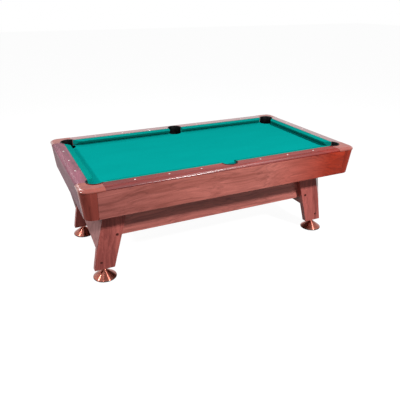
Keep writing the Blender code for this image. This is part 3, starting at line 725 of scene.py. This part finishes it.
bed_cloth_dye = billiard_cloth("bed_cloth_dye", (0.0008, 0.268, 0.248), (0.0012, 0.310, 0.287))
cloth_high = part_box("bed_cloth")[1]
spread_cloth = rounded_panel(cloth_high.x, cloth_high.y, board_corner, cloth_top - cloth_thickness, cloth_top)
bed_cloth = add_piece("bed_cloth_sheet", spread_cloth, bed_cloth_dye, replaced=["bed_cloth"])
for centre in pockets.values():
    bore(bed_cloth, centre, cloth_hole + turn_down, cloth_top, cloth_top)
spread_cloth = reopen(bed_cloth)
under = [face for face in spread_cloth.faces if face.normal.z < 0.5]
bmesh.ops.delete(spread_cloth, geom=under, context="FACES")
for centre in pockets.values():
    pivot = Vector((*centre, 0.0))
    rim = [edge for edge in spread_cloth.edges if edge.is_boundary
           and all((vert.co.xy - pivot.xy).length < cloth_hole + turn_down + 0.0005 for vert in edge.verts)]
    for turn in (22.5, 45.0, 67.5, 90.0):
        grown = bmesh.ops.extrude_edge_only(spread_cloth, edges=rim)
        radius = cloth_hole + turn_down * (1.0 - math.sin(math.radians(turn)))
        level = cloth_top - turn_down * (1.0 - math.cos(math.radians(turn)))
        for vert in grown_verts(grown):
            reach = (vert.co.xy - pivot.xy).normalized() * radius
            vert.co = (pivot.x + reach.x, pivot.y + reach.y, level)
        rim = [edge for edge in grown_edges(grown) if edge.is_boundary]
bmesh.ops.recalc_face_normals(spread_cloth, faces=spread_cloth.faces[:])
if sum(face.normal.z * face.calc_area() for face in spread_cloth.faces) < 0.0:
    bmesh.ops.reverse_faces(spread_cloth, faces=spread_cloth.faces[:])
cloth_area = sum(face.calc_area() for face in spread_cloth.faces)
fill_mesh(bed_cloth.data, spread_cloth, 50.0)
thick = bed_cloth.modifiers.new("cloth_thickness", "SOLIDIFY")
thick.thickness = cloth_thickness
thick.offset = -1.0
keep_flats(bed_cloth)

# Aprons
# Deep boards that lean inwards towards the bottom and close the frame on all four sides.
# They carry the same facing with a bold lengthwise grain. Its red is deepened towards the right end by a
# painted warm light and dulled towards the left by a painted shade.
apron_edge = 0.0018


def paint_light_cast_along(material, painted_warm_end):
    """Paint warm light that deepens the facing's red at the right end and shade that dulls it towards the
    left.
    """
    tree = material.node_tree
    shader = tree.nodes["Principled BSDF"]
    ramp = tree.nodes.new("ShaderNodeValToRGB")
    tree.links.new(stretch(tree, one_axis(tree, on_piece(tree), "X"), -1.0, 1.0), ramp.inputs["Fac"])
    ends = ramp.color_ramp.elements
    ends[0].color = (0.80, 0.80, 0.84, 1.0)
    ends[1].position = 0.92
    ends[1].color = (*painted_warm_end, 1.0)
    for position in (0.32, 0.64):
        ends.new(position).color = white
    plain = shader.inputs["Base Color"].links[0].from_socket
    tree.links.new(tint(tree, 1.0, plain, ramp.outputs["Color"], "MULTIPLY"), shader.inputs["Base Color"])


apron_long = rosewood(
    "apron_long_facing", along_length, light=(0.668, 0.211, 0.171), dark=(0.358, 0.100, 0.078),
    smooth=0.30, rough=0.42, shine=0.12, lacquer=0.0)
# Painted warm light reddens this facing at the right end, and painted shade dulls it at the left.
paint_light_cast_along(apron_long, (0.70, 0.196, 0.092))
# The end boards' mauve-grey is their facing's colour with a painted reflection of the white surround in it.
apron_end = rosewood(
    "apron_end_facing", along_width, light=(0.365, 0.168, 0.192), dark=(0.185, 0.080, 0.091),
    smooth=0.38, rough=0.48, shine=0.025, lacquer=0.0)
# Painted warm light reddens the end boards at the right end, and painted shade dulls them at the left.
paint_light_cast_along(apron_end, (0.90, 0.50, 0.38))
for side, facing in (("near", apron_long), ("far", apron_long), ("left", apron_end), ("right", apron_end)):
    dress_board("apron_" + side, "apron_board_" + side, facing, apron_edge)

# Corner posts
# Bent-plywood corners between the aprons, with the same inward lean and a large round. Their facing is
# darker and smoother than the aprons', a painted warm light reddens it on the right, and a fine seam shows
# beside each apron.
post_facing = rosewood(
    "post_facing", along_height, light=(0.52, 0.108, 0.078), dark=(0.33, 0.066, 0.048),
    smooth=0.20, rough=0.30, shine=0.03, lacquer=0.0)
# Painted warm light reddens the posts at the right end, and painted shade dulls them at the left.
paint_light_cast_along(post_facing, (0.76, 0.41, 0.31))
post_outer = Vector((1.082, 0.624))
post_seam = Vector((0.977, 0.519))
post_radius = 0.062
post_board = 0.016
post_top = 0.7747
post_bottom = 0.5787
post_lean = 0.018
post_edge = 0.0012
bend = post_outer - Vector((post_radius, post_radius))
for corner, (sx, sy) in corners.items():
    post = bmesh.new()
    face_point = post.verts.new((post_outer.x, bend.y, post_top))
    back_point = post.verts.new((post_outer.x - post_board, bend.y, post_top))
    start_edge = post.edges.new((face_point, back_point))
    bent = bmesh.ops.spin(post, geom=[face_point, back_point, start_edge], cent=(bend.x, bend.y, post_top),
                          axis=(0.0, 0.0, 1.0), angle=math.pi / 2, steps=28)
    end_edge = [item for item in bent["geom_last"] if isinstance(item, bmesh.types.BMEdge)][0]
    to_end_apron = (0.0, post_seam.y - bend.y, 0.0)
    to_long_apron = (post_seam.x - bend.x, 0.0, 0.0)
    for edge, reach in ((start_edge, to_end_apron), (end_edge, to_long_apron)):
        side = bmesh.ops.extrude_edge_only(post, edges=[edge])
        bmesh.ops.translate(post, verts=grown_verts(side), vec=reach)
    wall = bmesh.ops.extrude_face_region(post, geom=post.faces[:])
    lower = grown_verts(wall)
    bmesh.ops.translate(post, verts=lower, vec=(-post_lean, -post_lean, post_bottom - post_top))
    for vert in lower:
        vert.co.x = max(vert.co.x, post_seam.x)
        vert.co.y = max(vert.co.y, post_seam.y)
    bmesh.ops.transform(post, matrix=Matrix.Diagonal((sx, sy, 1.0, 1.0)), verts=post.verts[:])
    bmesh.ops.recalc_face_normals(post, faces=post.faces[:])
    ease_edges(post, post_edge, shortest=0.002)
    keep_flats(add_piece("corner_post_board_" + corner, post, post_facing,
                         replaced=["corner_post_" + corner]))

# Top rails
# Four thick hardwood-cored rails with a rounded outer edge, butted against the corner caps. The long ones
# have a half-round bite for the side pocket. The near one is rubbed matt with polish left on its round only,
# the left end one is satin, and the far and right ones keep their lacquer.
rail_top = 0.795
rail_low = 0.7503
skirt_low = 0.775
skirt_thickness = 0.0196
nosing = 0.036
nosing_drop = 0.016
rail_edge = 0.0010
pocket_bite = 0.0575
wood_corner = Vector((0.996, 0.521))
rail_long_half = 0.9217
rail_long_width = 0.104
rail_end_half = 0.4747
rail_end_width = 0.087


def polish_rounds(material, coat_roughness):
    """Lay the clear coat only on edges that are rounded between the top and the side."""
    tree = material.node_tree
    shader = tree.nodes["Principled BSDF"]
    upwards = one_axis(tree, on_piece(tree, "Normal"), "Z")
    past_side = stretch(tree, upwards, 0.10, 0.35)
    before_top = stretch(tree, upwards, 0.90, 0.99, 1.0, 0.0)
    tree.links.new(reckon(tree, "MULTIPLY", past_side, before_top), shader.inputs["Coat Weight"])
    shader.inputs["Coat Roughness"].default_value = coat_roughness


rail_near_facing = rosewood(
    "rail_long_facing", along_length, light=(0.315, 0.056, 0.050), dark=(0.152, 0.025, 0.023),
    smooth=0.22, rough=0.32, shine=0.06, lacquer=0.0)
polish_rounds(rail_near_facing, 0.20)
# Painted warm light reddens the near rail at the right end, and painted shade dulls it at the left.
paint_light_cast_along(rail_near_facing, (0.86, 0.205, 0.072))
rail_far_facing = rosewood(
    "rail_far_facing", along_length, light=(0.33, 0.080, 0.088), dark=(0.160, 0.038, 0.042),
    smooth=0.18, rough=0.28, shine=0.35, lacquer=0.70)
# The left end rail's mauve is its facing's colour with a painted reflection of the white surround in it.
rail_left_facing = rosewood(
    "rail_end_facing", along_width, light=(0.30, 0.096, 0.138), dark=(0.150, 0.049, 0.070),
    smooth=0.36, rough=0.46, shine=0.10, lacquer=0.0)
rail_right_facing = rosewood(
    "rail_right_facing", along_width, light=(0.33, 0.080, 0.088), dark=(0.160, 0.038, 0.042),
    smooth=0.18, rough=0.28, shine=0.35, lacquer=0.70)


def nosing_height(height):
    """Flatten a round of the nosing's width under the rail top to the nosing's drop."""
    return rail_top - (rail_top - height) * nosing_drop / nosing


def drawn_out(points, way):
    """A face through the points, drawn out into a solid bar or block."""
    bm = bmesh.new()
    section = bm.faces.new([bm.verts.new(point) for point in points])
    grown = bmesh.ops.extrude_face_region(bm, geom=[section])
    bmesh.ops.translate(bm, verts=grown_verts(grown), vec=way)
    return bm


def rail_shape(half_length, width):
    """A bar along X, inner face on Y = 0, stepped over the apron and rounded along its outer top."""
    step = width - skirt_thickness
    outline = [(0.0, rail_low), (0.0, rail_top)]
    for turn in range(0, 91, 6):
        around = math.radians(turn)
        out = width - nosing + nosing * math.sin(around)
        outline.append((out, nosing_height(rail_top - nosing * (1 - math.cos(around)))))
    outline += [(width, skirt_low), (step, skirt_low), (step, rail_low)]
    bm = drawn_out([(-half_length, y, z) for y, z in outline], (2 * half_length, 0.0, 0.0))
    bmesh.ops.recalc_face_normals(bm, faces=bm.faces[:])
    ease_edges(bm, rail_edge, shortest=0.016, steepest=60.0)
    return bm


def add_rail(side, bar, facing, node, bites):
    """Finish a rail that lies in its place, and cut the pockets' bites out of it."""
    bmesh.ops.recalc_face_normals(bar, faces=bar.faces[:])
    rail = add_piece("rail_bar_" + side, bar, facing, replaced=[node])
    for pocket in bites:
        bore(rail, pockets[pocket], pocket_bite, rail_low, rail_top)
    keep_flats(rail)


for side, sy, facing in (("near", -1, rail_near_facing), ("far", 1, rail_far_facing)):
    bar = rail_shape(rail_long_half, rail_long_width)
    bmesh.ops.translate(bar, verts=bar.verts[:], vec=(0.0, wood_corner.y, 0.0))
    bmesh.ops.scale(bar, vec=(1.0, sy, 1.0), verts=bar.verts[:])
    add_rail(side, bar, facing, "rail_long_" + side, [side + "_left", side + "_side", side + "_right"])
for side, sx, facing in (("left", -1, rail_left_facing), ("right", 1, rail_right_facing)):
    bar = rail_shape(rail_end_half, rail_end_width)
    bmesh.ops.translate(bar, verts=bar.verts[:], vec=(0.0, wood_corner.x, 0.0))
    quarter = Matrix.Rotation(math.radians(-90 * sx), 4, "Z")
    bmesh.ops.transform(bar, matrix=quarter, verts=bar.verts[:])
    add_rail(side, bar, facing, "rail_end_" + side, ["near_" + side, "far_" + side])

# Sights
# Eighteen round inlays of white plastic in the rail tops mark the eighths of the field.
# Each is a shallow dome pressed into a drilled hole.
pearl, pearl_tree, pearl_shader = new_material("sight_plastic")
cloudy = noise(pearl_tree, on_piece(pearl_tree), (300.0, 300.0, 300.0), 3.0)
mottle(pearl_tree, pearl_shader, cloudy, (0.86, 0.84, 0.80), (0.78, 0.75, 0.70), cloudy, 0.18, 0.30)
sight_radius = 0.0058
sight_step = 0.2375
sight_depth = 0.0030
sight_long_row = 0.5585
sight_end_row = 1.0335
sight_dome = [(0.0, rail_top + 0.0006), (sight_radius * 0.55, rail_top + 0.0005),
              (sight_radius * 0.86, rail_top + 0.0003), (sight_radius, rail_top - 0.0001),
              (sight_radius, rail_top - sight_depth), (0.0, rail_top - sight_depth)]
sight_rows = {
    "near": [(step * sight_step, -sight_long_row) for step in (-3, -2, -1, 1, 2, 3)],
    "far": [(step * sight_step, sight_long_row) for step in (-3, -2, -1, 1, 2, 3)],
    "left": [(-sight_end_row, step * sight_step) for step in (-1, 0, 1)],
    "right": [(sight_end_row, step * sight_step) for step in (-1, 0, 1)]}
for side, places in sight_rows.items():
    for number, (x, y) in enumerate(places, start=1):
        sight = turned_shape(sight_dome, 24)
        bmesh.ops.translate(sight, verts=sight.verts[:], vec=(x, y, 0.0))
        add_piece(f"sight_{side}_{number}", sight, pearl)

# Cushions
# Strips of moulded rubber glued to the rails, with cloth stretched over them and tucked into the groove
# along the wood. The cloth is taut on hard rubber, so it has no folds, only rounded ends at the pockets.
# The cushion cloth is a greener teal than the bed's and is painted darker, as painted shade along the
# cushions.
cushion_dye_and_shade = billiard_cloth("cushion_cloth_dye_and_shade", (0.001, 0.228, 0.198), (0.002, 0.268, 0.234))
field_half = Vector((0.950, 0.475))
nose_out = 0.046
nose_level = 0.786
nose_radius = 0.0035
cushion_top = 0.7942
cushion_foot = 0.756
cushion_crown = 0.0012
cushion_edge = 0.0016
undercut = [(0.030, 0.7665), (0.0165, cushion_foot + 0.0004), (0.0155, cushion_foot)]
tuck = 0.0018
side_stations = (0.062, 0.059)
corner_long = (0.8666, 0.9126)
corner_short = (0.3916, 0.4376)


def cushion_section():
    """Section as (distance in from the wood, height): back, tucked top edge, crown, nose and underside."""
    slope_start = Vector((seat_gap + tuck, cushion_top))
    slope_end = Vector((nose_out - nose_radius, nose_level + nose_radius))
    points = [(seat_gap, cushion_foot), (seat_gap, cushion_top - tuck),
              (seat_gap + tuck * 0.3, cushion_top - tuck * 0.3)]
    for step in range(0, 13):
        share = step / 12
        place = slope_start.lerp(slope_end, share)
        points.append((place.x, place.y + cushion_crown * math.sin(math.pi * share)))
    for turn in range(75, -61, -15):
        points.append((nose_out - nose_radius + nose_radius * math.cos(math.radians(turn)),
                       nose_level + nose_radius * math.sin(math.radians(turn))))
    return points + undercut


def edge_middle(edge):
    """The point halfway along an edge."""
    return (edge.verts[0].co + edge.verts[1].co) / 2


def cushion_shape(start, end):
    """A cushion along X with its nose on Y = 0; start and end are (nose, back) stations of its facings."""
    low = min(start) - 0.01
    high = max(end) + 0.01
    bm = drawn_out([(low, nose_out - a, b) for a, b in cushion_section()], (high - low, 0.0, 0.0))
    for (nose, back), way in ((start, -1), (end, 1)):
        facing = Vector((way * nose_out, way * (nose - back), 0.0))
        bmesh.ops.bisect_plane(bm, geom=bm.verts[:] + bm.edges[:] + bm.faces[:], dist=0.000001,
                               plane_co=(nose, 0.0, 0.0), plane_no=facing, clear_outer=True)
        bmesh.ops.holes_fill(bm, edges=[edge for edge in bm.edges if edge.is_boundary], sides=0)
    bmesh.ops.recalc_face_normals(bm, faces=bm.faces[:])
    ends = sorted(bm.faces, key=lambda face: len(face.verts))[-2:]
    wrapped = [edge for edge in bm.edges if any(face in ends for face in edge.link_faces)
               and edge_middle(edge).z > cushion_foot + 0.001 and edge_middle(edge).y < nose_out - 0.0008]
    round_over(bm, wrapped, cushion_edge, 3, clamp=True)
    return bm


def add_cushion(name, bm, place):
    """Set a cushion in its place, where its cloth is padded by the rubber."""
    bmesh.ops.transform(bm, matrix=place, verts=bm.verts[:])
    bmesh.ops.recalc_face_normals(bm, faces=bm.faces[:])
    cushion = add_piece("cushion_strip_" + name, bm, cushion_dye_and_shade,
                        replaced=["cushion_" + name])


for row, sy in (("near", -1), ("far", 1)):
    for column, sx in (("left", -1), ("right", 1)):
        place = Matrix.Diagonal((sx, sy, 1.0, 1.0)) @ Matrix.Translation((0.0, field_half.y, 0.0))
        add_cushion(row + "_" + column, cushion_shape(side_stations, corner_long), place)
for column, sx in (("left", -1), ("right", 1)):
    place = Matrix.Rotation(math.radians(-90 * sx), 4, "Z") @ Matrix.Translation((0.0, field_half.x, 0.0))
    start = (-corner_short[0], -corner_short[1])
    add_cushion("end_" + column, cushion_shape(start, corner_short), place)

# Corner caps
# Moulded corners with a copper-brown finish, glossy on their rounds. They bridge the long and the end
# rail, carry the corner pocket, step over the top of the post and are screwed down from underneath.
cap_gloss, cap_tree, cap_shader = new_material("cap_moulding")
flow = noise(cap_tree, on_piece(cap_tree), (16.0, 16.0, 16.0), 3.0)
peel = noise(cap_tree, on_piece(cap_tree), (340.0, 340.0, 340.0), 2.0)
mottle(cap_tree, cap_shader, stretch(cap_tree, flow, 0.35, 0.65), (0.270, 0.049, 0.033),
       (0.340, 0.068, 0.046), flow, 0.16, 0.26)
raise_surface(cap_tree, cap_shader, peel, 0.00005, 0.4)
cap_shader.inputs["Specular IOR Level"].default_value = 0.28
polish_rounds(cap_gloss, 0.16)
cap_outer = Vector((1.086, 0.628))
cap_seam = Vector((0.922, 0.475))
cap_radius = 0.065
cap_edge = 0.0008
step_corner = Vector((1.0634, 0.6054))
step_radius = 0.0457
step_margin = 0.01


def uprights_at(bm, corner):
    """The upright edges that stand on one corner of a plan."""
    return [edge for edge in bm.edges if all((vert.co.xy - corner).length < 0.001 for vert in edge.verts)]


def on_outer_rim(edge):
    """Whether an edge lies along the outer edge of a cap's top."""
    middle = edge_middle(edge)
    at_top = min(vert.co.z for vert in edge.verts) > rail_top - 0.001
    on_round = middle.x > cap_outer.x - cap_radius and middle.y > cap_outer.y - cap_radius
    on_side = middle.x > cap_outer.x - 0.001 or middle.y > cap_outer.y - 0.001
    return at_top and (on_round or on_side)


def cap_shape():
    """An L-shaped block with a rounded corner in plan, rounded over along its outer top edge."""
    plan = [(cap_seam.x, wood_corner.y), (wood_corner.x, wood_corner.y), (wood_corner.x, cap_seam.y),
            (cap_outer.x, cap_seam.y), (cap_outer.x, cap_outer.y), (cap_seam.x, cap_outer.y)]
    bm = drawn_out([(x, y, rail_low) for x, y in plan], (0.0, 0.0, rail_top - rail_low))
    round_over(bm, uprights_at(bm, cap_outer), cap_radius, 24)
    rounded = round_over(bm, [edge for edge in bm.edges if on_outer_rim(edge)], nosing, 14)
    for vert in rounded["verts"]:
        vert.co.z = nosing_height(vert.co.z)
    ease_edges(bm, cap_edge, shortest=0.016, steepest=60.0)
    return bm


def cap_step():
    """What is taken out under a cap's outer edge for the top of the post and the aprons."""
    start = cap_seam - Vector((step_margin, step_margin))
    far = cap_outer + Vector((step_margin, step_margin))
    plan = [(start.x, step_corner.y), (step_corner.x, step_corner.y), (step_corner.x, start.y),
            (far.x, start.y), (far.x, far.y), (start.x, far.y)]
    bm = drawn_out([(x, y, rail_low - step_margin) for x, y in plan],
                   (0.0, 0.0, skirt_low - rail_low + step_margin))
    round_over(bm, uprights_at(bm, step_corner), step_radius, 16)
    return bm


for corner, (sx, sy) in corners.items():
    block = cap_shape()
    bmesh.ops.scale(block, vec=(sx, sy, 1.0), verts=block.verts[:])
    bmesh.ops.recalc_face_normals(block, faces=block.faces[:])
    cap = add_piece("cap_" + corner, block, cap_gloss, replaced=["corner_cap_" + corner])
    bore(cap, pockets[corner], pocket_bite, rail_low, rail_top)
    step = cap_step()
    bmesh.ops.scale(step, vec=(sx, sy, 1.0), verts=step.verts[:])
    carve(cap, step)
    keep_flats(cap)

# Pocket liners
# Cups of injection-moulded black plastic that hang in the pocket holes. A flange rests on the rail, a back
# wall guards the wood, the front lip stays just under the cloth and a small ridge seals the cloth's edge.
liner_plastic, liner_tree, liner_shader = new_material("liner_plastic")
pebbles = liner_tree.nodes.new("ShaderNodeTexVoronoi")
pebbles.inputs["Scale"].default_value = 620.0
liner_tree.links.new(on_piece(liner_tree), pebbles.inputs["Vector"])
rub = noise(liner_tree, on_piece(liner_tree), (40.0, 40.0, 40.0), 4.0)
mottle(liner_tree, liner_shader, stretch(liner_tree, rub, 0.45, 0.75), (0.0015, 0.0015, 0.0018),
       (0.004, 0.004, 0.0045), rub, 0.36, 0.55)
raise_surface(liner_tree, liner_shader, pebbles.outputs["Distance"], 0.0001, 0.20)
liner_shader.inputs["Specular IOR Level"].default_value = 0.10
liner_inner = 0.0535
liner_outer = 0.057
flange_radius = 0.062
flange_low = 0.7953
flange_top = 0.7978
front_lip = 0.747
seal_top = 0.7462
seal_radius = 0.0584
cup_floor = 0.660
cup_base = 0.0475
cup_wall = 0.0035
mouth_reach = 0.2
mouth_height = 0.1
liner_profile = [
    (0.0, cup_floor), (0.044, cup_floor), (cup_base, cup_floor + 0.0012), (0.0492, cup_floor + 0.0040),
    (liner_inner, front_lip), (liner_inner, flange_top - 0.0016), (liner_inner + 0.0006, flange_top - 0.0004),
    (liner_inner + 0.0018, flange_top), (flange_radius - 0.0016, flange_top),
    (flange_radius - 0.0004, flange_top - 0.0005), (flange_radius, flange_top - 0.0014),
    (flange_radius, flange_low), (liner_outer, flange_low), (liner_outer, seal_top),
    (seal_radius, seal_top - 0.0002), (seal_radius, seal_top - 0.0020),
    (liner_outer - 0.0002, seal_top - 0.0024), (0.0527, cup_floor + 0.002), (0.0505, cup_floor - 0.0025),
    (cup_base, cup_floor - cup_wall), (0.0, cup_floor - cup_wall)]
for name, (x, y) in pockets.items():
    cup = turned_shape(liner_profile, 96)
    bmesh.ops.translate(cup, verts=cup.verts[:], vec=(x, y, 0.0))
    liner = add_piece("pocket_cup_" + name, cup, liner_plastic,
                      replaced=["pocket_liner_" + name])
    if x:
        inner_x = math.copysign(wood_corner.x, x)
        reach_x = x - math.copysign(mouth_reach, x)
    else:
        inner_x = -mouth_reach
        reach_x = mouth_reach
    inner_y = math.copysign(wood_corner.y, y)
    reach_y = y - math.copysign(mouth_reach, y)
    span = Vector((abs(inner_x - reach_x), abs(inner_y - reach_y), mouth_height))
    centre = Vector(((inner_x + reach_x) / 2, (inner_y + reach_y) / 2, front_lip + mouth_height / 2))
    mouth = bmesh.new()
    bmesh.ops.create_cube(mouth, size=1.0, matrix=Matrix.Translation(centre) @ Matrix.Diagonal((*span, 1.0)))
    carve(liner, mouth)
